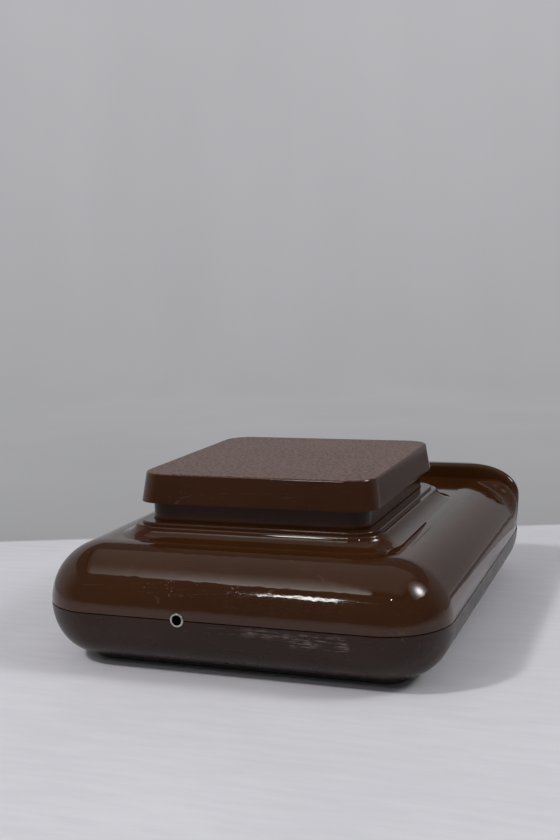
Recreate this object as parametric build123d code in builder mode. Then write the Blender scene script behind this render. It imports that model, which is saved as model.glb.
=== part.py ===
from build123d import *
import os
from math import cos, radians, sin, sqrt

os.makedirs("parts", exist_ok=True)

# Table-top stereo transparency viewer. Millimetres, +Z up, origin under the middle of the
# bounding box at table level. The face with the supply socket looks along -Y.

# ---- outer form ----------------------------------------------------------------
half_w = 74.0          # half width at the seam
front_y = -94.2        # front wall at the seam
rear_y = 93.5          # rear wall at the seam
front_r = 22.8         # plan corner radius, front
rear_r = 26.0          # plan corner radius, rear
seam_z = 21.9          # parting plane between the shells
deck_z = 43.2          # flat deck of the upper shell
wall = 2.5             # moulding wall
shell_end_y = 72.5     # rear end of the upper shell
rear_shoulder = 11.0   # shoulder radius of the upper shell at its rear end
end_half = 73.5        # half width of the upper shell at its rear end
ease_y = 60.0          # where the shoulder starts to flare out towards the rear cap
seam_gap = 0.4         # height of the shadow gap cut round the lower shell's rim
seam_depth = 0.7
belly_z = 3.0          # underside of the lower shell
belly_in = 14.9        # how far the lower shell curves in
slice_angles = (0, 18, 36, 54, 70, 82, 90)

# ---- rear cap ------------------------------------------------------------------
cap_gap = 0.3
cap_wall = 2.2
cap_shoulder_z = 36.4
cap_top_z = 49.4
cap_shoulder_in = 19.0
cap_flare = 1.0

# ---- eyepiece group ------------------------------------------------------------
lens_y = -16.3         # middle of the eyepiece block, front to back
lens_x = 31.0          # half the lens spacing
collar = (47.7, 51.0, 11.0)      # half width, half depth, corner radius
collar_step = (45.6, 48.9, 9.5)
collar_foot_z = 42.85
collar_sweep = 9.0
collar_z = 47.2
ledge_z = 48.2
block = (41.6, 45.0, 7.4)
block_wall = 2.2
block_bottom_z = 34.5
block_top_z = 62.8
flange_t = 2.0
flange_out = 3.0
lens_r = 9.0
lens_seat_z = 57.3
lens_edge = 1.8
lens_sag = 1.5
lens_surface_r = 27.8
cell_wall = 1.4
felt_z0 = 41.2
felt_z1 = 46.0
felt_t = 2.0
lid_bottom = (45.3, 48.8, 9.2)
lid_top = (44.0, 47.4, 9.9)
lid_bottom_z = 55.4
lid_top_z = 66.0
lid_roof = 2.9

# ---- slide channel and light box -----------------------------------------------
slot_z0 = 19.8
slot_z1 = 24.2
slot_half = 23.0
gate_x0 = -70.3
gate_x1 = 61.0
gate_t = 1.6
rail_t = 3.0
leg_x = 50.0
window = (22.0, 24.0)
slide_half = (51.2, 20.9)
carrier_gap = 0.3
box_half_x = 57.0
box_half_y = 21.5
box_top_z = 18.2
septum_top_z = 55.0
floor_z = belly_z + wall
box_wall = 1.2
diffuser_t = 1.6
lamp_z = 12.0
lamp_hole_r = 5.2

# ---- fixings, supply, battery --------------------------------------------------
screw_at = [(-50, -68), (50, -68), (-50, 60), (50, 60)]
pad_at = [(-46, -54), (46, -54), (-46, 46), (46, 46)]
boss_r = 4.0
boss_top_z = 41.6
pilot_r = 1.55
plate_z = 0.6
plate_in = 15.5
jack_x = -16.1
jack_r = 2.5
jack_bore_r = 1.8
jack_depth = 17.0
switch_y = 40.0
switch_z = 17.0
switch_throw = 4.4
switch_in = -68.1
switch_depth = 6.0
cell_y = 81.5
cell_z = 29.5
cell_r = 7.25
cell_len = 50.5
tray_x0 = -57.5
tray_x1 = 54.2


def outline_points(half, y0, y1):
    """Corner points of a plan outline, walked clockwise from the front left."""
    return [(-half, y0), (-half, y1), (half, y1), (half, y0)]


def full_slice(z, inset):
    """Closed plan outline of the whole body at height z, drawn in by inset."""
    with BuildSketch(Plane.XY.offset(z)) as slice_:
        with BuildLine():
            Polyline(*outline_points(half_w - inset, front_y + inset, rear_y - inset), close=True)
        make_face()
        fillet(slice_.vertices().group_by(Axis.Y)[0], max(front_r - inset, 1.2))
        fillet(slice_.vertices().group_by(Axis.Y)[-1], max(rear_r - inset, 1.2))
    return slice_.sketch


def shell_slice(z, side, rear_side, end_y):
    """Plan outline of the upper shell: rounded front, sides easing out towards the rear end."""
    radius = max(front_r - side, 1.2)
    x1 = half_w - side
    x2 = end_half - rear_side
    y0 = front_y + side
    with BuildSketch(Plane.XY.offset(z)) as slice_:
        with BuildLine():
            for s in (-1, 1):
                Line((0, y0), (s * (x1 - radius), y0))
                knee = (s * (x1 - radius * (1 - cos(radians(45)))), y0 + radius * (1 - cos(radians(45))))
                ThreePointArc((s * (x1 - radius), y0), knee, (s * x1, y0 + radius))
                Line((s * x1, y0 + radius), (s * x1, ease_y))
                Spline((s * x1, ease_y), (s * x2, end_y), tangents=((0, 1), (0, 1)))
                Line((s * x2, end_y), (0, end_y))
        make_face()
    return slice_.sketch


def rear_inset(z, t):
    """Inset of the upper shell's flank at its rear end for height z and wall offset t."""
    r = rear_shoulder - t
    rise = z - (deck_z - t - r)
    if rise <= 0:
        return t
    return t + r - sqrt(max(r * r - rise * rise, 0.0))


def upper_form(t, end_y):
    """Slices of the upper shell's skin, offset inwards by t."""
    r = deck_z - seam_z - t
    slices = []
    for a in slice_angles:
        z = seam_z + r * sin(radians(a))
        side = t + r * (1 - cos(radians(a)))
        slices.append(shell_slice(z, side, rear_inset(z, t), end_y))
    return slices


def lower_form(t):
    """Slices of the lower shell's skin, offset inwards by t."""
    slices = []
    for a in slice_angles:
        z = seam_z - (seam_z - belly_z - t) * sin(radians(a))
        slices.append(full_slice(z, t + (belly_in - t * 0.4) * (1 - cos(radians(a)))))
    return slices


def cap_slice(z, inset, front):
    """Plan outline of the rear cap: the body outline behind its straight front edge."""
    with BuildSketch(Plane.XY.offset(z)) as slice_:
        with BuildLine():
            Polyline(*outline_points(half_w - inset, 0, rear_y - inset), close=True)
        make_face()
        fillet(slice_.vertices().group_by(Axis.Y)[-1], rear_r - inset)
        with Locations((0, front)):
            Rectangle(4 * half_w, rear_y, align=(Align.CENTER, Align.MIN), mode=Mode.INTERSECT)
    return slice_.sketch


def cap_form(t, front):
    """Slices of the rear cap's skin, offset inwards by t."""
    start = seam_z + cap_gap if t == 0 else seam_z - 1
    slices = []
    for part in (0, 0.25, 0.5, 0.75):
        ease = cap_flare * sin(radians(90 * part))
        slices.append(cap_slice(start + part * (cap_shoulder_z - start), t - ease, front))
    rise = cap_top_z - cap_shoulder_z - t
    depth = cap_shoulder_in - t
    for a in slice_angles:
        z = cap_shoulder_z + rise * sin(radians(a))
        slices.append(cap_slice(z, t - cap_flare + depth * (1 - cos(radians(a))), front))
    return slices


def rounded(size, grow=0.0, mode=Mode.ADD):
    """Rounded rectangle from (half width, half depth, corner radius)."""
    return RectangleRounded(2 * (size[0] + grow), 2 * (size[1] + grow), size[2] + grow, mode=mode)



# ---- upper shell ---------------------------------------------------------------
with BuildPart() as collar_form:
    for a in (0, 15, 35, 60, 90):
        with BuildSketch(Plane.XY.offset(collar_foot_z + (collar_z - collar_foot_z) * (1 - cos(radians(a))))):
            with Locations((0, lens_y)):
                rounded(collar, collar_sweep * (1 - sin(radians(a))))
    loft()
    fillet(collar_form.edges().group_by(Axis.Z)[-1], 0.9)
    with BuildSketch(Plane.XY.offset(deck_z)):
        with Locations((0, lens_y)):
            rounded(collar_step)
    extrude(amount=ledge_z - deck_z)
    fillet(collar_form.edges().group_by(Axis.Z)[-1], 0.5)

with BuildPart() as upper_shell:
    for s in upper_form(0, shell_end_y):
        add(s)
    loft()
    for s in upper_form(wall, shell_end_y - wall):
        add(s)
    loft(mode=Mode.SUBTRACT)
    add(collar_form.part)
    with BuildSketch(Plane.XY.offset(deck_z - 10)):
        with Locations((0, lens_y)):
            rounded(block, 0.35)
    extrude(amount=20, mode=Mode.SUBTRACT)
    with BuildSketch(Plane.XY.offset(felt_z0)):
        with Locations((0, lens_y)):
            rounded(block, felt_t + 0.1)
    extrude(amount=felt_z1 - felt_z0, mode=Mode.SUBTRACT)
    with BuildSketch(Plane.XY.offset(floor_z + 0.1)):
        with Locations(*screw_at):
            Circle(boss_r)
    extrude(amount=boss_top_z - floor_z - 0.1)
    with Locations(*[(x, y, floor_z + 0.1) for x, y in screw_at]):
        Cylinder(pilot_r, 30, align=(Align.CENTER, Align.CENTER, Align.MIN), mode=Mode.SUBTRACT)
    with Locations((-half_w, lens_y, (slot_z0 + slot_z1) / 2)):
        Box(12, 2 * slot_half, slot_z1 - slot_z0, mode=Mode.SUBTRACT)
    with Locations(Plane((jack_x, front_y - 2, seam_z), z_dir=(0, 1, 0))):
        Cylinder(jack_r + 0.1, 8, align=(Align.CENTER, Align.CENTER, Align.MIN), mode=Mode.SUBTRACT)
upper_shell.part.label = "upper_shell"
export_step(upper_shell.part, "parts/upper_shell.step")

# ---- lower shell ---------------------------------------------------------------
with BuildPart() as lower_shell:
    for s in lower_form(0):
        add(s)
    loft()
    for s in lower_form(wall):
        add(s)
    loft(mode=Mode.SUBTRACT)
    with BuildSketch(Plane.XY.offset(seam_z - seam_gap)):
        with Locations((0, shell_end_y)):
            Rectangle(3 * half_w, 4 * half_w, align=(Align.CENTER, Align.MAX))
        add(full_slice(0, seam_depth), mode=Mode.SUBTRACT)
    extrude(amount=2 * seam_gap, mode=Mode.SUBTRACT)
    with BuildSketch(Plane.XY.offset(floor_z - 0.5)):
        with Locations((switch_in + switch_depth / 2 - 0.5, switch_y)):
            Rectangle(5.0, 9.0)
    extrude(amount=switch_z - 4.0 - floor_z + 0.5)
    with Locations((-half_w, lens_y, (slot_z0 + slot_z1) / 2)):
        Box(12, 2 * slot_half, slot_z1 - slot_z0, mode=Mode.SUBTRACT)
    with Locations((-half_w + 2, switch_y, switch_z)):
        Box(10, 10.4, 4.0, mode=Mode.SUBTRACT)
    with Locations(Plane((jack_x, front_y - 2, seam_z), z_dir=(0, 1, 0))):
        Cylinder(jack_r + 0.1, 8, align=(Align.CENTER, Align.CENTER, Align.MIN), mode=Mode.SUBTRACT)
    with Locations(*[(x, y, belly_z - 1) for x, y in screw_at]):
        Cylinder(pilot_r + 0.2, 6, align=(Align.CENTER, Align.CENTER, Align.MIN), mode=Mode.SUBTRACT)
lower_shell.part.label = "lower_shell"
export_step(lower_shell.part, "parts/lower_shell.step")

# ---- base plate, pads, screws --------------------------------------------------
with BuildPart() as base_plate:
    with BuildSketch(Plane.XY.offset(plate_z)) as base_outline:
        with BuildLine():
            Polyline(*outline_points(half_w - plate_in, front_y + plate_in, rear_y - plate_in), close=True)
        make_face()
        fillet(base_outline.vertices().group_by(Axis.Y)[0], front_r - plate_in)
        fillet(base_outline.vertices().group_by(Axis.Y)[-1], rear_r - plate_in)
    extrude(amount=belly_z - plate_z)
    fillet(base_plate.edges().group_by(Axis.Z)[0], 0.5)
    with Locations(*[(x, y, plate_z - 1) for x, y in screw_at]):
        Cylinder(pilot_r + 0.2, 6, align=(Align.CENTER, Align.CENTER, Align.MIN), mode=Mode.SUBTRACT)
        Cylinder(3.1, 2.5, align=(Align.CENTER, Align.CENTER, Align.MIN), mode=Mode.SUBTRACT)
    with Locations(*[(x, y, plate_z - 1) for x, y in pad_at]):
        Cylinder(6.0, 2.2, align=(Align.CENTER, Align.CENTER, Align.MIN), mode=Mode.SUBTRACT)
base_plate.part.label = "base_plate"
export_step(base_plate.part, "parts/base_plate.step")

with BuildPart() as rubber_pads:
    with Locations(*[(x, y, 0) for x, y in pad_at]):
        Cylinder(5.9, plate_z + 1.2, align=(Align.CENTER, Align.CENTER, Align.MIN))
    fillet(rubber_pads.edges().group_by(Axis.Z)[0], 0.4)
rubber_pads.part.label = "rubber_pads"
export_step(rubber_pads.part, "parts/rubber_pads.step")

with BuildPart() as shell_screws:
    with Locations(*[(x, y, plate_z + 0.1) for x, y in screw_at]):
        Cylinder(2.8, 1.4, align=(Align.CENTER, Align.CENTER, Align.MIN))
    with Locations(*[(x, y, plate_z + 1.5) for x, y in screw_at]):
        Cylinder(1.5, 18, align=(Align.CENTER, Align.CENTER, Align.MIN))
    with Locations(*[(x, y, plate_z + 0.1) for x, y in screw_at]):
        Box(3.6, 0.7, 0.8, align=(Align.CENTER, Align.CENTER, Align.MIN), mode=Mode.SUBTRACT)
        Box(0.7, 3.6, 0.8, align=(Align.CENTER, Align.CENTER, Align.MIN), mode=Mode.SUBTRACT)
shell_screws.part.label = "shell_screws"
export_step(shell_screws.part, "parts/shell_screws.step")

# ---- rear cap ------------------------------------------------------------------
with BuildPart() as rear_cap:
    for s in cap_form(0, shell_end_y + cap_gap):
        add(s)
    loft()
    crest = rear_cap.edges().filter_by_position(Axis.Z, cap_top_z - 0.01, cap_top_z + 0.01).sort_by(Axis.Y)[0]
    fillet(crest, 2.0)
    for s in cap_form(cap_wall, shell_end_y + 2.5):
        add(s)
    loft(mode=Mode.SUBTRACT)
    with Locations((0, shell_end_y, seam_z - 2)):
        Box(136, 8, 18, align=(Align.CENTER, Align.CENTER, Align.MIN), mode=Mode.SUBTRACT)
rear_cap.part.label = "rear_cap"
export_step(rear_cap.part, "parts/rear_cap.step")

# ---- eyepiece block ------------------------------------------------------------
cell_axes = [(-lens_x, lens_y), (lens_x, lens_y)]
with BuildPart() as eyepiece_block:
    with BuildSketch(Plane.XY.offset(block_bottom_z)):
        with Locations((0, lens_y)):
            rounded(block)
    extrude(amount=block_top_z - block_bottom_z)
    fillet(eyepiece_block.edges().group_by(Axis.Z)[-1], 0.8)
    with BuildSketch(Plane.XY.offset(block_bottom_z)):
        with Locations((0, lens_y)):
            rounded(block, flange_out)
    extrude(amount=flange_t)
    with BuildSketch(Plane.XY.offset(block_bottom_z)):
        with Locations((0, lens_y)):
            rounded(block, -block_wall)
    extrude(amount=block_top_z - block_wall - block_bottom_z, mode=Mode.SUBTRACT)
    with BuildSketch(Plane.XY.offset(lens_seat_z - 1.2)):
        with Locations(*cell_axes):
            Circle(lens_r + cell_wall)
    extrude(amount=block_top_z - block_wall - lens_seat_z + 1.2)
    with BuildSketch(Plane.XY.offset(lens_seat_z - 0.4)):
        with Locations(*cell_axes):
            Circle(lens_r + 0.05)
    extrude(amount=20, mode=Mode.SUBTRACT)
    with BuildSketch(Plane.XY.offset(lens_seat_z - 5)):
        with Locations(*cell_axes):
            Circle(lens_r - 0.9)
    extrude(amount=20, mode=Mode.SUBTRACT)
eyepiece_block.part.label = "eyepiece_block"
export_step(eyepiece_block.part, "parts/eyepiece_block.step")



for side, name in ((-1, "lens_left"), (1, "lens_right")):
    lens_mid_z = lens_seat_z + lens_edge / 2
    lens_centre_off = lens_surface_r - lens_sag - lens_edge / 2
    with BuildPart() as lens:
        with Locations((side * lens_x, lens_y, lens_mid_z)):
            Cylinder(lens_r, lens_edge + 2 * lens_sag + 1)
        with Locations((side * lens_x, lens_y, lens_mid_z - lens_centre_off)):
            Sphere(lens_surface_r, mode=Mode.INTERSECT)
        with Locations((side * lens_x, lens_y, lens_mid_z + lens_centre_off)):
            Sphere(lens_surface_r, mode=Mode.INTERSECT)
    lens.part.label = name
    export_step(lens.part, f"parts/{name}.step")

    with BuildPart() as ring:
        with BuildSketch(Plane.XY.offset(lens_seat_z + lens_edge + 0.35)):
            with Locations((side * lens_x, lens_y)):
                Circle(lens_r)
                Circle(lens_r - 0.9, mode=Mode.SUBTRACT)
        extrude(amount=block_top_z - 0.9 - lens_seat_z - lens_edge)
        fillet(ring.edges().group_by(Axis.Z)[-1].sort_by(SortBy.RADIUS)[0], 0.4)
    ring.part.label = name.replace("lens", "lens_ring")
    export_step(ring.part, f"parts/{ring.part.label}.step")

with BuildPart() as felt_seal:
    with BuildSketch(Plane.XY.offset(felt_z0 + 0.05)):
        with Locations((0, lens_y)):
            rounded(block, felt_t)
            rounded(block, 0.1, Mode.SUBTRACT)
    extrude(amount=felt_z1 - felt_z0 - 0.1)
felt_seal.part.label = "felt_seal"
export_step(felt_seal.part, "parts/felt_seal.step")

# ---- lid -----------------------------------------------------------------------
with BuildPart() as lid:
    with BuildSketch(Plane.XY.offset(lid_bottom_z)):
        with Locations((0, lens_y)):
            rounded(lid_bottom)
    with BuildSketch(Plane.XY.offset(lid_top_z)):
        with Locations((0, lens_y)):
            rounded(lid_top)
    loft()
    fillet(lid.edges().group_by(Axis.Z)[-1], 0.8)
    with BuildSketch(Plane.XY.offset(lid_bottom_z)):
        with Locations((0, lens_y)):
            rounded(lid_bottom, -2.0)
    with BuildSketch(Plane.XY.offset(lid_top_z - lid_roof)):
        with Locations((0, lens_y)):
            rounded(block, 0.4)
    loft(mode=Mode.SUBTRACT)
lid.part.label = "lid"
export_step(lid.part, "parts/lid.step")

# ---- slide channel, carrier, septum --------------------------------------------
gate_mid = (gate_x0 + gate_x1) / 2
gate_len = gate_x1 - gate_x0
with BuildPart() as film_gate:
    with BuildSketch(Plane.XY.offset(slot_z1)):
        with Locations((gate_mid, lens_y)):
            Rectangle(gate_len, 2 * (slot_half + rail_t))
        with Locations(*cell_axes):
            Rectangle(*window, mode=Mode.SUBTRACT)
    extrude(amount=gate_t)
    with BuildSketch(Plane.XY.offset(slot_z0)):
        for s in (-1, 1):
            with Locations((gate_mid, lens_y + s * (slot_half + rail_t / 2))):
                Rectangle(gate_len, rail_t)
        with Locations((gate_x1 - rail_t / 2, lens_y)):
            Rectangle(rail_t, 2 * slot_half)
    extrude(amount=slot_z1 - slot_z0)
    with BuildSketch(Plane.XY.offset(floor_z + 0.05)):
        for s in (-1, 1):
            with Locations((-leg_x, lens_y + s * (slot_half + rail_t / 2))):
                Rectangle(4.0, rail_t)
            with Locations((leg_x, lens_y + s * (slot_half + rail_t / 2))):
                Rectangle(4.0, rail_t)
    extrude(amount=slot_z0 - floor_z)
    with BuildSketch(Plane.XY.offset(slot_z0 - 1.5)):
        with Locations(((gate_x0 - box_half_x - 0.3) / 2, lens_y)):
            Rectangle(-box_half_x - 0.3 - gate_x0, 2 * (slot_half + rail_t))
    extrude(amount=1.5)
film_gate.part.label = "film_gate"
export_step(film_gate.part, "parts/film_gate.step")

carrier_x0 = -half_w + 0.4
carrier_x1 = gate_x1 - rail_t - carrier_gap
carrier_t = slot_z1 - slot_z0 - 2 * carrier_gap
with BuildPart() as slide_carrier:
    with BuildSketch(Plane.XY.offset(slot_z0 + carrier_gap)):
        with Locations(((carrier_x0 + carrier_x1) / 2, lens_y)):
            Rectangle(carrier_x1 - carrier_x0, 2 * (slot_half - carrier_gap))
        with Locations(*cell_axes):
            Rectangle(window[0] + 4, window[1] + 4, mode=Mode.SUBTRACT)
    extrude(amount=carrier_t)
    fillet(slide_carrier.edges().filter_by(Axis.Z).group_by(Axis.X)[0], 1.2)
    with BuildSketch(Plane.XY.offset(slot_z0 + carrier_gap + 1.0)):
        with Locations((0, lens_y)):
            Rectangle(2 * slide_half[0], 2 * slide_half[1])
    extrude(amount=carrier_t, mode=Mode.SUBTRACT)
    with BuildSketch(Plane.XY.offset(slot_z0 + carrier_gap)):
        with Locations((carrier_x0 + 0.2, lens_y)):
            RectangleRounded(2.0, 18, 0.6)
    extrude(amount=carrier_t)
slide_carrier.part.label = "slide_carrier"
export_step(slide_carrier.part, "parts/slide_carrier.step")

with BuildPart() as septum:
    with BuildSketch(Plane.XY.offset(slot_z1 + gate_t)):
        with Locations((0, lens_y)):
            Rectangle(1.2, 76)
            Rectangle(12, 1.2)
    extrude(amount=1.2)
    with BuildSketch(Plane.YZ.offset(-0.6)):
        with BuildLine():
            Polyline(
                (lens_y - 38, slot_z1 + gate_t),
                (lens_y - 38, septum_top_z),
                (lens_y + 38, septum_top_z),
                (lens_y + 38, slot_z1 + gate_t),
                close=True,
            )
        make_face()
    extrude(amount=1.2)
septum.part.label = "septum"
export_step(septum.part, "parts/septum.step")

# ---- light box -----------------------------------------------------------------
with BuildPart() as reflector:
    with Locations((0, lens_y, floor_z + 0.05)):
        Box(2 * box_half_x, 2 * box_half_y, box_top_z - floor_z - 0.05,
            align=(Align.CENTER, Align.CENTER, Align.MIN))
    fillet(reflector.edges().filter_by(Axis.Z), 3.0)
    top = reflector.faces().sort_by(Axis.Z)[-1]
    offset(amount=-box_wall, openings=top)
    with Locations(*[Plane((x, lens_y + box_half_y - 3, lamp_z), z_dir=(0, 1, 0)) for x in (-lens_x, lens_x)]):
        Cylinder(lamp_hole_r, 6, align=(Align.CENTER, Align.CENTER, Align.MIN), mode=Mode.SUBTRACT)
reflector.part.label = "reflector"
export_step(reflector.part, "parts/reflector.step")

with BuildPart() as diffuser:
    with BuildSketch(Plane.XY.offset(box_top_z)):
        with Locations((0, lens_y)):
            RectangleRounded(2 * box_half_x, 2 * slot_half - 0.4, 2.0)
    extrude(amount=slot_z0 - box_top_z - 0.1)
diffuser.part.label = "diffuser"
export_step(diffuser.part, "parts/diffuser.step")

holder_y0 = lens_y + box_half_y + 0.1
for side, name in ((-1, "left"), (1, "right")):
    x = side * lens_x
    with BuildPart() as holder:
        with Locations((x, holder_y0, floor_z + 0.05)):
            Box(15, 12, 12.5, align=(Align.CENTER, Align.MIN, Align.MIN))
        fillet(holder.edges().filter_by(Axis.Y), 1.5)
        with Locations(Plane((x, holder_y0 - 1, lamp_z), z_dir=(0, 1, 0))):
            Cylinder(4.95, 10.5, align=(Align.CENTER, Align.CENTER, Align.MIN), mode=Mode.SUBTRACT)
            Cylinder(1.0, 20, align=(Align.CENTER, Align.CENTER, Align.MIN), mode=Mode.SUBTRACT)
    holder.part.label = "lamp_holder_" + name
    export_step(holder.part, f"parts/lamp_holder_{name}.step")

    with BuildPart() as lamp_base:
        with Locations(Plane((x, holder_y0 - 1.0, lamp_z), z_dir=(0, 1, 0))):
            Cylinder(4.9, 9.0, align=(Align.CENTER, Align.CENTER, Align.MIN))
        with Locations(Plane((x, holder_y0 + 8.0, lamp_z), z_dir=(0, 1, 0))):
            Cylinder(1.6, 1.4, align=(Align.CENTER, Align.CENTER, Align.MIN))
    lamp_base.part.label = "lamp_base_" + name
    export_step(lamp_base.part, f"parts/lamp_base_{name}.step")

    with BuildPart() as lamp:
        with BuildSketch(Plane((x, holder_y0 - 1.05, lamp_z), x_dir=(1, 0, 0), z_dir=(0, 0, 1))):
            with BuildLine():
                Polyline((0, 0), (3.2, 0), (3.2, -2.5))
                Spline((3.2, -2.5), (4.5, -6.0), (0, -10.5), tangents=((0.4, -1), (-1, 0)))
                Line((0, -10.5), (0, 0))
            make_face()
        revolve(axis=Axis((x, 0, lamp_z), (0, 1, 0)))
    lamp.part.label = "lamp_" + name
    export_step(lamp.part, f"parts/lamp_{name}.step")

# ---- battery bay ---------------------------------------------------------------
tray_y0 = shell_end_y + 1.3
tray_y1 = 87.0
with BuildPart() as battery_tray:
    with Locations(((tray_x1 + tray_x0) / 2, tray_y0, 15.0)):
        Box(tray_x1 - tray_x0, tray_y1 - tray_y0, 10.5, align=(Align.CENTER, Align.MIN, Align.MIN))
    for x in (tray_x0 + 1.4, tray_x1 - 1.4):
        with Locations((x, cell_y, 25.5)):
            Box(2.8, 10, 9.5, align=(Align.CENTER, Align.CENTER, Align.MIN))
    with Locations((-35, tray_y0, floor_z + 0.05), (35, tray_y0, floor_z + 0.05)):
        Box(8, 2.8, 10, align=(Align.CENTER, Align.MIN, Align.MIN))
    with Locations(Plane((tray_x0 + 2.8, cell_y, cell_z), z_dir=(1, 0, 0))):
        Cylinder(cell_r + 0.25, tray_x1 - tray_x0 - 5.6,
                 align=(Align.CENTER, Align.CENTER, Align.MIN), mode=Mode.SUBTRACT)
battery_tray.part.label = "battery_tray"
export_step(battery_tray.part, "parts/battery_tray.step")

for x0, name in ((-cell_len - 0.05, "cell_left"), (0.05, "cell_right")):
    with BuildPart() as cell:
        with Locations(Plane((x0, cell_y, cell_z), z_dir=(1, 0, 0))):
            Cylinder(cell_r, cell_len - 1.3, align=(Align.CENTER, Align.CENTER, Align.MIN))
        fillet(cell.edges(), 0.6)
        with Locations(Plane((x0 + cell_len - 1.5, cell_y, cell_z), z_dir=(1, 0, 0))):
            Cylinder(2.7, 1.5, align=(Align.CENTER, Align.CENTER, Align.MIN))
    cell.part.label = name
    export_step(cell.part, f"parts/{name}.step")

with BuildPart() as contact_plate:
    with Locations((cell_len + 0.1, cell_y, 25.6)):
        Box(0.5, 9, 9.0, align=(Align.MIN, Align.CENTER, Align.MIN))
contact_plate.part.label = "contact_plate"
export_step(contact_plate.part, "parts/contact_plate.step")

spring_x0 = tray_x0 + 2.85
with BuildPart() as contact_spring:
    with BuildLine() as coil:
        Helix(1.1, 3.2, 3.4, center=(spring_x0 + 0.35, cell_y, cell_z), direction=(1, 0, 0))
    with BuildSketch(Plane(coil.line @ 0, z_dir=coil.line % 0)):
        Circle(0.32)
    sweep(path=coil.line)
contact_spring.part.label = "contact_spring"
export_step(contact_spring.part, "parts/contact_spring.step")

# ---- conductors ----------------------------------------------------------------
for side, name in ((-1, "left"), (1, "right")):
    with BuildPart() as strip:
        with Locations((side * 42.5, holder_y0 + 1, floor_z + 0.05)):
            Box(4, 70.0 - holder_y0 - 3.2, 0.5, align=(Align.CENTER, Align.MIN, Align.MIN))
        with Locations((side * 41.5, holder_y0 + 1, floor_z + 0.05)):
            Box(6, 4, 0.5, align=(Align.CENTER, Align.MIN, Align.MIN))
        with Locations((side * 38.75, holder_y0 + 1, floor_z + 0.05)):
            Box(0.4, 4, 8, align=(Align.CENTER, Align.MIN, Align.MIN))
    strip.part.label = "bus_strip_" + name
    export_step(strip.part, f"parts/bus_strip_{name}.step")

# ---- switch --------------------------------------------------------------------
with BuildPart() as switch_body:
    with Locations((switch_in, switch_y, switch_z)):
        Box(switch_depth, 20, 7.8, align=(Align.MIN, Align.CENTER, Align.CENTER))
    fillet(switch_body.edges().filter_by(Axis.X), 0.8)
switch_body.part.label = "switch_body"
export_step(switch_body.part, "parts/switch_body.step")

off_y = switch_y - switch_throw / 2
with BuildPart() as switch_slider:
    with Locations((switch_in - 0.15, off_y, switch_z)):
        Box(1.2, 13, 5.6, align=(Align.MAX, Align.CENTER, Align.CENTER))
    with Locations((-half_w - 0.4, off_y, switch_z)):
        Box(half_w + 0.4 + switch_in - 0.5, 5.0, 3.2, align=(Align.MIN, Align.CENTER, Align.CENTER))
    for dy in (-1.5, 0, 1.5):
        with Locations((-half_w - 0.4, off_y + dy, switch_z)):
            Box(0.4, 0.5, 4.0, align=(Align.MIN, Align.CENTER, Align.CENTER), mode=Mode.SUBTRACT)
switch_slider.part.label = "switch_slider"
export_step(switch_slider.part, "parts/switch_slider.step")

# ---- supply socket -------------------------------------------------------------
jack_tip_y = front_y - 0.3
jack_plane = Plane((jack_x, jack_tip_y, seam_z), z_dir=(0, 1, 0))
with BuildPart() as jack_bushing:
    with Locations(jack_plane):
        Cylinder(jack_r, 9.0, align=(Align.CENTER, Align.CENTER, Align.MIN))
    fillet(jack_bushing.edges().group_by(Axis.Y)[0], 0.3)
    with Locations(jack_plane):
        Cylinder(jack_bore_r, 9.0, align=(Align.CENTER, Align.CENTER, Align.MIN), mode=Mode.SUBTRACT)
jack_bushing.part.label = "jack_bushing"
export_step(jack_bushing.part, "parts/jack_bushing.step")

with BuildPart() as jack_nut:
    with BuildSketch(jack_plane.offset(3.6)):
        RegularPolygon(4.2, 6)
        Circle(jack_r + 0.02, mode=Mode.SUBTRACT)
    extrude(amount=2.0)
jack_nut.part.label = "jack_nut"
export_step(jack_nut.part, "parts/jack_nut.step")

with BuildPart() as jack_body:
    with BuildSketch(jack_plane.offset(9.0)):
        Rectangle(10, 9)
    extrude(amount=jack_depth - 9.0)
    fillet(jack_body.edges().filter_by(Axis.Y), 1.0)
    with Locations(jack_plane.offset(9.0)):
        Cylinder(jack_bore_r, jack_depth - 9.0 - 1.0,
                 align=(Align.CENTER, Align.CENTER, Align.MIN), mode=Mode.SUBTRACT)
jack_body.part.label = "jack_body"
export_step(jack_body.part, "parts/jack_body.step")
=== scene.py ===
import math

import bmesh
import bpy
from mathutils import Matrix, Vector


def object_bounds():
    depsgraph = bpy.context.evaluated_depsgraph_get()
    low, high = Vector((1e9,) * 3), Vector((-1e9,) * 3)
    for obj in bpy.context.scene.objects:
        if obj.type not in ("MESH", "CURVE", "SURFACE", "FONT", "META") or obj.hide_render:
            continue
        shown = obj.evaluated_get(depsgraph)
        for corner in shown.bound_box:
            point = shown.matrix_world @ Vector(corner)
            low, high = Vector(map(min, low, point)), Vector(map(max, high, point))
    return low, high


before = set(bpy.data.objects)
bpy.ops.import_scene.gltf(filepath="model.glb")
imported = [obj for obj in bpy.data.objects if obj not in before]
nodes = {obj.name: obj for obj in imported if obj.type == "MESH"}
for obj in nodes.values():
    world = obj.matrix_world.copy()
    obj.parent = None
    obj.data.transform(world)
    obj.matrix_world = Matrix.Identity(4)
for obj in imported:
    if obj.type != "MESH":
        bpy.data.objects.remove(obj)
cad_low, cad_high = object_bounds()
mm = 0.001


# ---- node material helpers ------------------------------------------------------

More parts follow.
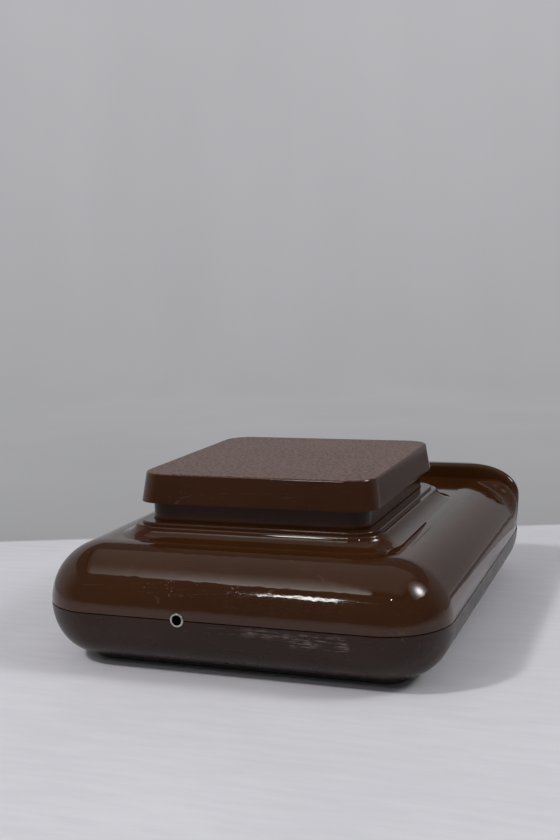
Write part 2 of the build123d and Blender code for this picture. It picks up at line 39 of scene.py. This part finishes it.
class Paint:
    """Builds one node material on a Principled surface, in the frame's own coordinates."""

    def __init__(self, name):
        self.mat = bpy.data.materials.new(name)
        self.mat.use_nodes = True
        self.tree = self.mat.node_tree
        self.bsdf = self.tree.nodes["Principled BSDF"]
        self.coord = self.tree.nodes.new("ShaderNodeTexCoord").outputs["Object"]

    def node(self, kind, **props):
        n = self.tree.nodes.new("ShaderNode" + kind)
        for key, value in props.items():
            setattr(n, key, value)
        return n

    def feed(self, value, socket):
        if isinstance(value, bpy.types.NodeSocket):
            self.tree.links.new(value, socket)
        elif isinstance(value, tuple) and len(value) == 3 and socket.type == "RGBA":
            socket.default_value = (*value, 1.0)
        else:
            socket.default_value = value

    def place(self, scale=(1, 1, 1), turn=(0, 0, 0), source=None):
        n = self.node("Mapping")
        n.inputs["Scale"].default_value = scale
        n.inputs["Rotation"].default_value = [math.radians(d) for d in turn]
        self.feed(source or self.coord, n.inputs["Vector"])
        return n.outputs["Vector"]

    def noise(self, scale, detail=4.0, rough=0.55, source=None):
        n = self.node("TexNoise")
        n.inputs["Scale"].default_value = scale
        n.inputs["Detail"].default_value = detail
        n.inputs["Roughness"].default_value = rough
        self.feed(source or self.coord, n.inputs["Vector"])
        return n.outputs["Fac"]

    def cells(self, scale, source=None):
        n = self.node("TexVoronoi")
        n.inputs["Scale"].default_value = scale
        self.feed(source or self.coord, n.inputs["Vector"])
        return n.outputs["Distance"]

    def ramp(self, fac, low, high):
        """Eases from 0 at low to 1 at high; low may be the larger one."""
        n = self.node("MapRange", interpolation_type="SMOOTHSTEP")
        n.inputs["From Min"].default_value = low
        n.inputs["From Max"].default_value = high
        self.feed(fac, n.inputs["Value"])
        return n.outputs["Result"]

    def span(self, fac, a, b, to_a, to_b):
        n = self.node("MapRange")
        for key, value in zip(("From Min", "From Max", "To Min", "To Max"), (a, b, to_a, to_b)):
            n.inputs[key].default_value = value
        self.feed(fac, n.inputs["Value"])
        return n.outputs["Result"]

    def math(self, op, a, b=0.0):
        n = self.node("Math", operation=op)
        self.feed(a, n.inputs[0])
        self.feed(b, n.inputs[1])
        return n.outputs[0]

    def mul(self, first, *rest):
        for v in rest:
            first = self.math("MULTIPLY", first, v)
        return first

    def add(self, first, *rest):
        for v in rest:
            first = self.math("ADD", first, v)
        return first

    def axis(self, which):
        n = self.node("SeparateXYZ")
        self.feed(self.coord, n.inputs[0])
        return n.outputs[which]

    def mix(self, fac, a, b):
        n = self.node("Mix", data_type="RGBA")
        self.feed(fac, n.inputs["Factor"])
        self.feed(a, n.inputs["A"])
        self.feed(b, n.inputs["B"])
        return n.outputs["Result"]

    def band(self, value, low, high, soft):
        """1 between low and high, fading out over soft on both sides."""
        rise = self.ramp(value, low - soft, low)
        return self.mul(rise, self.ramp(value, high + soft, high))

    def patch(self, x, y, z, soft):
        """1 inside a box given in millimetres, with soft edges."""
        out = None
        for which, limits in zip("XYZ", (x, y, z)):
            if limits is None:
                continue
            one = self.band(self.axis(which), limits[0] * mm, limits[1] * mm, soft * mm)
            out = one if out is None else self.mul(out, one)
        return out

    def bump(self, height, strength, distance, under=None):
        n = self.node("Bump")
        n.inputs["Strength"].default_value = strength
        n.inputs["Distance"].default_value = distance
        self.feed(height, n.inputs["Height"])
        if under is not None:
            self.feed(under, n.inputs["Normal"])
        return n.outputs["Normal"]

    def set(self, **sockets):
        for name, value in sockets.items():
            self.feed(value, self.bsdf.inputs[name.replace("_", " ")])
        return self.mat


def hairlines(p, scale, turn, width=0.006, keep=0.55):
    """Fine straight scratches: the mid line of a noise drawn out along one direction."""
    lines = p.noise(scale, 0.0, 0.0, p.place((0.06, 1.0, 1.0), turn))
    near = p.math("ABSOLUTE", p.math("SUBTRACT", lines, 0.5))
    gate = p.ramp(p.noise(scale * 1.7, 1.0), keep, keep + 0.05)
    return p.mul(p.ramp(near, width, 0.0), gate)


def specks(p, scale, size, gate_scale, keep):
    dots = p.ramp(p.cells(scale), size, size * 0.5)
    return p.mul(dots, p.ramp(p.noise(gate_scale, 2.0), keep, keep + 0.08))


def brown_plastic(name, base, deep, rough, wear_and_glint=None, grain=None, ior=1.45):
    """Moulded brown plastic: slow tone change, dust, hairlines, plus an optional worn area and an
    optional grained area, each given by a function of the paint. On the front the worn area also holds a
    painted glint, and on the lid the grained area also holds a painted sheen."""
    p = Paint(name)
    colour = p.mix(p.ramp(p.noise(38.0, 3.0), 0.35, 0.68), base, deep)
    dust = specks(p, 700.0, 0.10, 55.0, 0.60)
    hair = p.math("MAXIMUM", hairlines(p, 130.0, (0, 0, 18)), hairlines(p, 150.0, (0, 14, -52)))
    pale = p.add(p.mul(dust, 0.5), p.mul(hair, 0.10))
    haze = p.add(p.mul(hair, 0.12), p.mul(dust, 0.3))
    # The worn area is real wear, and on the front it is also a painted glint.
    if wear_and_glint is not None:
        pale_wear_and_glint, haze_wear_and_glint = wear_and_glint(p)
        pale = p.add(pale, pale_wear_and_glint)
        haze = p.add(haze, haze_wear_and_glint)
    colour = p.mix(p.math("MINIMUM", pale, 1.0), colour, (0.22, 0.17, 0.15))
    rough_map = p.add(p.span(p.noise(90.0, 4.0), 0.3, 0.7, rough * 0.85, rough * 1.2), haze)
    normal = p.bump(p.noise(300.0, 2.0), 0.05, 0.00003)
    normal = p.bump(hair, 0.2, 0.00002, normal)
    if grain is not None:
        colour, rough_map, normal = grain(p, colour, rough_map, normal)
    return p.set(Base_Color=colour, Roughness=rough_map, Normal=normal, IOR=ior)


front_depth = (-96, -70)    # range in y, in millimetres, that takes in the whole front


def front_dust_and_glint(p):
    """Dust specks left of the middle and fine rubbing right of it, on the front rounding. They are
    painted pale only along the row where the key light's highlight runs: partly real dust and rubbing,
    partly a painted glint of that highlight.
    """
    left = p.patch((-34, 4), front_depth, (30.5, 33.5), 3)
    dots = p.mul(p.ramp(p.cells(900.0), 0.30, 0.14), p.ramp(p.noise(190.0, 2.0), 0.55, 0.66), left)
    ticks = p.mul(hairlines(p, 520.0, (0, 38, 0), 0.02, 0.52), left)
    right = p.patch((2, 44), front_depth, (27.5, 31.5), 3)
    rub = p.mul(p.ramp(p.noise(1700.0, 3.0, 0.6, p.place((0.5, 1.0, 1.0))), 0.48, 0.66), right)
    # Painted glint: the dots, ticks and rubbing are painted pale only where the key highlight runs.
    pale = p.add(p.mul(dots, 0.6), p.mul(ticks, 0.25), p.mul(rub, 0.04))
    return pale, p.add(p.mul(dots, 0.3), p.mul(rub, 0.08))


def belly_wear(p):
    """The pale rubbed patch under the seam, right of the socket."""
    light = p.mul(p.patch((6, 24), front_depth, (18.6, 20.2), 1.4), 0.8)
    area = p.math("MAXIMUM", light, p.patch((25, 43), front_depth, (16.6, 19.4), 2.0))
    streak = p.noise(1900.0, 5.0, 0.75, p.place((0.09, 1.0, 1.0), (0, 2, 0)))
    rub = p.mul(p.ramp(streak, 0.47, 0.64), p.ramp(p.noise(150.0, 2.0), 0.34, 0.55), area)
    return p.mul(rub, 0.9), p.mul(rub, 0.2)


def lid_grain_and_sheen(p, colour, rough_map, normal):
    """Fine spark-eroded grain on the flat top only; the skirt stays glossy. The grain is painted a light
    grey-brown: partly the grain's own colour, partly a painted sheen of the top catching the backdrop's
    light.
    """
    top = p.ramp(p.axis("Z"), cad_high.z - 0.35 * mm, cad_high.z - 0.1 * mm)
    fine = p.noise(820.0, 3.0, 0.7)
    # Painted sheen: the grain lightens the top's colour, partly as grain, partly as the top's sheen.
    colour = p.mix(p.mul(top, p.ramp(fine, 0.42, 0.62)), colour, (0.215, 0.115, 0.085))
    rough_map = p.add(rough_map, p.mul(top, 0.34))
    normal = p.bump(p.mul(fine, top), 0.6, 0.00015, normal)
    return colour, rough_map, normal


def moulded(name, base, deep, rough, grain=700.0, depth=0.00004, **extra):
    """Plain moulded plastic, rubber or card for the smaller parts."""
    p = Paint(name)
    fine = p.noise(grain, 4.0)
    colour = p.mix(p.ramp(p.noise(120.0, 4.0), 0.35, 0.65), base, deep)
    dust = specks(p, 900.0, 0.12, 90.0, 0.58)
    colour = p.mix(p.mul(dust, 0.35), colour, tuple(min(1.0, c * 2.2 + 0.04) for c in base))
    rough_map = p.add(p.span(fine, 0.3, 0.7, rough * 0.85, min(1.0, rough * 1.15)), p.mul(dust, 0.15))
    return p.set(Base_Color=colour, Roughness=rough_map, Normal=p.bump(fine, 0.3, depth), **extra)


def metal(name, base, stain, rough, stretch=(1.0, 1.0, 0.08)):
    """Turned or drawn metal with fine tool lines and light tarnish."""
    p = Paint(name)
    lines = p.noise(2400.0, 3.0, 0.6, p.place(stretch))
    tarnish = p.ramp(p.noise(330.0, 4.0), 0.50, 0.72)
    colour = p.mix(tarnish, base, stain)
    rough_map = p.add(p.span(lines, 0.3, 0.7, rough * 0.7, rough * 1.3), p.mul(tarnish, 0.12))
    normal = p.bump(lines, 0.15, 0.00002)
    return p.set(Base_Color=colour, Metallic=1.0, Roughness=rough_map, Normal=normal)


def glass(name, tint, rough, ior):
    """Clear glass, faintly smeared."""
    p = Paint(name)
    smear = p.noise(160.0, 3.0, 0.6, p.place((1.0, 0.3, 1.0)))
    return p.set(Base_Color=p.mix(p.ramp(smear, 0.4, 0.7), tint, tuple(c * 0.96 for c in tint)),
                 Roughness=p.span(smear, 0.3, 0.7, rough, rough + 0.04), IOR=ior,
                 Transmission_Weight=1.0, Coat_Weight=0.2, Normal=p.bump(smear, 0.03, 0.00002))


# Each pair is a plastic's main colour and the deeper one it drifts to.
gloss = ((0.050, 0.0172, 0.0050), (0.043, 0.0148, 0.0044))
neck = ((0.044, 0.0150, 0.0052), (0.036, 0.0125, 0.0045))
lid_brown = ((0.048, 0.0162, 0.0052), (0.041, 0.0142, 0.0046))
satin = ((0.029, 0.0118, 0.0075), (0.024, 0.0100, 0.0066))
carrier_brown = ((0.030, 0.0115, 0.0052), (0.024, 0.0095, 0.0045))
looks = {
    "upper_shell": brown_plastic("case_gloss", *gloss, 0.045, wear_and_glint=front_dust_and_glint),
    "rear_cap": brown_plastic("cap_gloss", *gloss, 0.05),
    "eyepiece_block": brown_plastic("neck_brown", *neck, 0.20, ior=1.24),
    "lid": brown_plastic("lid_brown", *lid_brown, 0.06, grain=lid_grain_and_sheen),
    "lower_shell": brown_plastic("case_satin", *satin, 0.27, wear_and_glint=belly_wear, ior=1.34),
    "slide_carrier": brown_plastic("carrier_brown", *carrier_brown, 0.30),
}
black = moulded("base_black", (0.010, 0.010, 0.011), (0.006, 0.006, 0.007), 0.55)
inner = moulded("inner_black", (0.014, 0.014, 0.014), (0.010, 0.010, 0.010), 0.62, 500.0, 0.00008)
holder = moulded("holder_black", (0.020, 0.018, 0.017), (0.013, 0.012, 0.012), 0.42)
ring = moulded("ring_black", (0.016, 0.016, 0.017), (0.010, 0.010, 0.011), 0.34)
brass = metal("contact_brass", (0.72, 0.52, 0.24), (0.42, 0.29, 0.14), 0.26)
spring = metal("contact_steel", (0.62, 0.62, 0.63), (0.38, 0.37, 0.36), 0.28)
nickel = metal("jack_nickel", (0.50, 0.47, 0.41), (0.26, 0.23, 0.19), 0.24, (1.0, 0.1, 1.0))
lens = glass("lens_glass", (0.95, 0.97, 0.97), 0.01, 1.52)
bulb = glass("lamp_glass", (0.96, 0.95, 0.90), 0.03, 1.48)
looks.update({
    "base_plate": black, "film_gate": inner, "septum": inner, "battery_tray": inner,
    "rubber_pads": moulded("pad_rubber", (0.018, 0.018, 0.018), (0.010, 0.010, 0.010), 0.8,
                           1200.0, 0.0001),
    "shell_screws": metal("screw_steel", (0.46, 0.45, 0.44), (0.24, 0.22, 0.20), 0.34),
    "lens_left": lens, "lens_right": lens, "lens_ring_left": ring, "lens_ring_right": ring,
    "switch_slider": ring, "switch_body": holder, "jack_body": holder,
    "lamp_holder_left": holder, "lamp_holder_right": holder,
    "felt_seal": moulded("felt", (0.020, 0.019, 0.019), (0.009, 0.009, 0.009), 0.95, 2600.0, 0.0003,
                         Sheen_Weight=0.5),
    "reflector": moulded("reflector_white", (0.80, 0.79, 0.75), (0.72, 0.70, 0.65), 0.45),
    "diffuser": moulded("opal", (0.86, 0.85, 0.80), (0.80, 0.79, 0.74), 0.5, Transmission_Weight=0.35),
    "lamp_left": bulb, "lamp_right": bulb, "lamp_base_left": brass, "lamp_base_right": brass,
    "bus_strip_left": brass, "bus_strip_right": brass, "contact_plate": spring, "contact_spring": spring,
    "cell_left": moulded("cell_jacket", (0.045, 0.055, 0.075), (0.030, 0.040, 0.055), 0.35),
    "jack_bushing": nickel, "jack_nut": nickel,
})
looks["cell_right"] = looks["cell_left"]

for name, o in nodes.items():
    o.data.materials.clear()
    o.data.materials.append(looks[name])

# ---- view -----------------------------------------------------------------------

view_turn, view_tilt, view_roll = -0.347, 0.129, -0.028
eye = Vector((0.1487, -0.4417, 0.1388))
ahead = Vector((math.sin(view_turn), math.cos(view_turn), 0.0))
across = Vector((math.cos(view_turn), -math.sin(view_turn), 0.0))
forward = ahead * math.cos(view_tilt) - Vector((0, 0, math.sin(view_tilt)))
upward = across.cross(forward)
right_rolled = across * math.cos(view_roll) + upward * math.sin(view_roll)
up_rolled = upward * math.cos(view_roll) - across * math.sin(view_roll)

camera_data = bpy.data.cameras.new("camera")
camera_data.lens = 50.04
camera_data.sensor_width = 36.0
camera_data.clip_start = 0.01
camera_data.clip_end = 20.0
camera = bpy.data.objects.new("camera", camera_data)
bpy.context.scene.collection.objects.link(camera)
facing = Matrix((right_rolled, up_rolled, -forward)).transposed().to_4x4()
camera.matrix_world = Matrix.Translation(eye) @ facing
bpy.context.scene.camera = camera


# ---- studio ---------------------------------------------------------------------

room_radius = 0.80                        # radius of the flat part of the floor
room_curve = 0.12                         # radius of the bend from floor to wall
room_top = 0.62                           # top of the wall
view_reach = 0.605                        # from the camera to the far edge of the table
table_end = eye.dot(ahead) + view_reach
edge_slope = 0.012                        # how much the table's far edge runs askew
edge_soft = 0.003


def add_mesh(name, bm):
    mesh = bpy.data.meshes.new(name)
    bm.to_mesh(mesh)
    bm.free()
    mesh.polygons.foreach_set("use_smooth", [True] * len(mesh.polygons))
    o = bpy.data.objects.new(name, mesh)
    bpy.context.scene.collection.objects.link(o)
    return o


def round_room():
    """A round floor that curves up into a wall on every side."""
    segments = 96
    profile = [(r, 0.0) for r in (0.15, 0.3, 0.45, 0.6, room_radius)]
    for i in range(1, 9):
        a = math.radians(90 * i / 8)
        profile.append((room_radius + room_curve * math.sin(a), room_curve * (1 - math.cos(a))))
    profile.append((room_radius + room_curve, room_top))
    bm = bmesh.new()
    middle = bm.verts.new((0, 0, 0))
    rings = []
    for r, z in profile:
        angles = [2 * math.pi * k / segments for k in range(segments)]
        rings.append([bm.verts.new((r * math.cos(t), r * math.sin(t), z)) for t in angles])
    for k in range(segments):
        n = (k + 1) % segments
        bm.faces.new((middle, rings[0][k], rings[0][n]))
        for a, b in zip(rings, rings[1:]):
            bm.faces.new((a[k], b[k], b[n], a[n]))
    return add_mesh("room", bm)


def along(p, direction):
    n = p.node("VectorMath", operation="DOT_PRODUCT")
    n.inputs[1].default_value = direction
    p.feed(p.coord, n.inputs[0])
    return n.outputs["Value"]


room = round_room()
p = Paint("room_paint")
beyond = along(p, ahead - edge_slope * across)
far = p.ramp(beyond, table_end - edge_soft, table_end + edge_soft)
height = p.axis("Z")
off_floor = p.ramp(height, 0.0005, 0.06)
reach = along(p, ahead)
grain = p.noise(260.0, 4.0, 0.6, p.place((0.16, 1.0, 1.0), (0, 0, -20)))
mottled = p.noise(11.0, 4.0)
table_tone = p.mix(p.ramp(p.add(p.mul(grain, 0.5), p.mul(mottled, 0.5)), 0.35, 0.65),
                   (0.78, 0.78, 0.83), (0.84, 0.84, 0.89))
# Painted shade: the table is painted darker further from the middle, standing in for the lamps' light
# falling off.
length = p.node("VectorMath", operation="LENGTH")
p.feed(p.coord, length.inputs[0])
painted_light_falloff = p.ramp(length.outputs["Value"], 0.26, 0.50)
table_tone = p.mix(p.mul(painted_light_falloff, 0.35), table_tone, (0.16, 0.16, 0.17))
lit = p.math("MAXIMUM", far, off_floor)
tone = p.mix(lit, table_tone, (0.0, 0.0, 0.0))
folds = p.noise(7.0, 3.0, 0.5, p.place((1.0, 1.0, 0.25)))
# The backdrop glows a little, more so further away and higher up, and fades to the side and behind.
climb = p.add(p.span(reach, 0.15, 0.9, 0.0, 0.05), p.span(height, 0.0, 0.42, 0.0, 0.085))
glow = p.add(p.math("MINIMUM", climb, 0.16), 0.325)
glow = p.mul(glow, p.span(folds, 0.3, 0.7, 0.97, 1.03))
glow = p.mul(glow, p.span(along(p, across), 0.30, 0.62, 1.0, 0.58))
# A dim strip of floor, right of what the camera sees, that the lid's right side mirrors.
aside = p.add(along(p, across), p.mul(reach, -0.25))
strip = p.mul(p.ramp(aside, 0.165, 0.215), p.ramp(aside, 0.30, 0.265), p.ramp(height, 0.04, 0.01))
glow = p.mul(glow, p.span(strip, 0.0, 1.0, 1.0, 0.3))
backward = p.ramp(reach, -0.35, 0.25)
glow = p.mul(lit, p.add(p.mul(backward, glow), p.mul(p.math("SUBTRACT", 1.0, backward), 0.10)))
room.data.materials.append(p.set(Base_Color=tone, Roughness=0.7, Specular_IOR_Level=0.15,
                                 Emission_Color=(0.985, 0.985, 1.03), Emission_Strength=glow,
                                 Normal=p.bump(grain, 0.2, 0.00025)))

canopy_z = 1.15
canopy_front = -0.90
canopy_back = 0.55


def canopy():
    """A sheet overhead whose front edge is mirrored as a line across the front rounding."""
    bm = bmesh.new()
    bmesh.ops.create_grid(bm, x_segments=8, y_segments=8, size=0.5)
    for v in bm.verts:
        x, back = v.co.x * 2.0, v.co.y + 0.5
        front = canopy_front + 0.40 * max(0.0, -0.42 - x)
        v.co = Vector((x, front + (canopy_back - front) * back, canopy_z))
    return add_mesh("canopy", bm)


sheet = canopy()
p = Paint("canopy_glow")
x, y = p.axis("X"), p.axis("Y")
side = p.mul(p.ramp(x, -0.285, -0.315), p.ramp(x, -0.98, -0.48))
depth = p.span(y, canopy_front, -0.28, 1.0, 0.0)
soft_front = p.math("MAXIMUM", p.ramp(y, canopy_front, -0.50), p.ramp(x, -0.20, -0.30))
base = p.mul(p.ramp(x, 1.0, 0.5), p.ramp(x, -1.0, -0.65), soft_front, 0.40)
glow = p.add(p.mul(side, depth, p.add(p.mul(depth, 2.6), 0.9)), base)
sheet.data.materials.append(p.set(Base_Color=(0.0, 0.0, 0.0), Roughness=1.0, Specular_IOR_Level=0.0,
                                  Emission_Color=(1.0, 0.97, 0.94), Emission_Strength=glow))

world = bpy.data.worlds.new("room_air")
bpy.context.scene.world = world
world.use_nodes = True
world.node_tree.nodes["Background"].inputs["Color"].default_value = (0.75, 0.82, 1.0, 1)
world.node_tree.nodes["Background"].inputs["Strength"].default_value = 0.12


lamp_aim = Vector((0.0, -0.03, 0.03))
warm_white = (1.0, 0.98, 0.97)


def lamp(name, azimuth, elevation, distance, size, radiance,
         colour=(1, 1, 1), height=None, mirrored=True):
    """An area light seen from the object at the given azimuth and elevation: a disk, or a
    rectangle when height is given. With mirrored off it lights surfaces without showing in them."""
    data = bpy.data.lights.new(name, "AREA")
    data.shape = "RECTANGLE" if height else "DISK"
    data.size = size
    area = size * height if height else math.pi * size * size / 4
    if height:
        data.size_y = height
    data.energy = radiance * math.pi * area
    data.color = colour
    o = bpy.data.objects.new(name, data)
    a, e = math.radians(azimuth), math.radians(elevation)
    toward = Vector((math.cos(a) * math.cos(e), math.sin(a) * math.cos(e), math.sin(e)))
    o.location = lamp_aim + toward * distance
    o.rotation_mode = "QUATERNION"
    o.rotation_quaternion = (-toward).to_track_quat("-Z", "Y")
    o.visible_glossy = mirrored
    bpy.context.scene.collection.objects.link(o)


lamp("key_window", -110.0, 34.2, 1.08, 0.085, 26.0, warm_white, height=0.15)
lamp("key_fill", -129, 46, 1.05, 0.11, 122.0, warm_white, mirrored=False)
# Nested disks, so that the spot they leave has a soft rim: diameter and radiance of each.
right_disks = ((0.15, 10.0), (0.24, 7.0), (0.34, 3.0), (0.48, 1.2), (0.66, 0.6))
for i, (size, radiance) in enumerate(right_disks):
    lamp("right_lamp_%d" % i, 4, 40, 1.05 + 0.01 * i, size, radiance)
lamp("small_lamp", -63, 44, 1.05, 0.022, 120.0)

bpy.context.scene.view_settings.view_transform = "Standard"
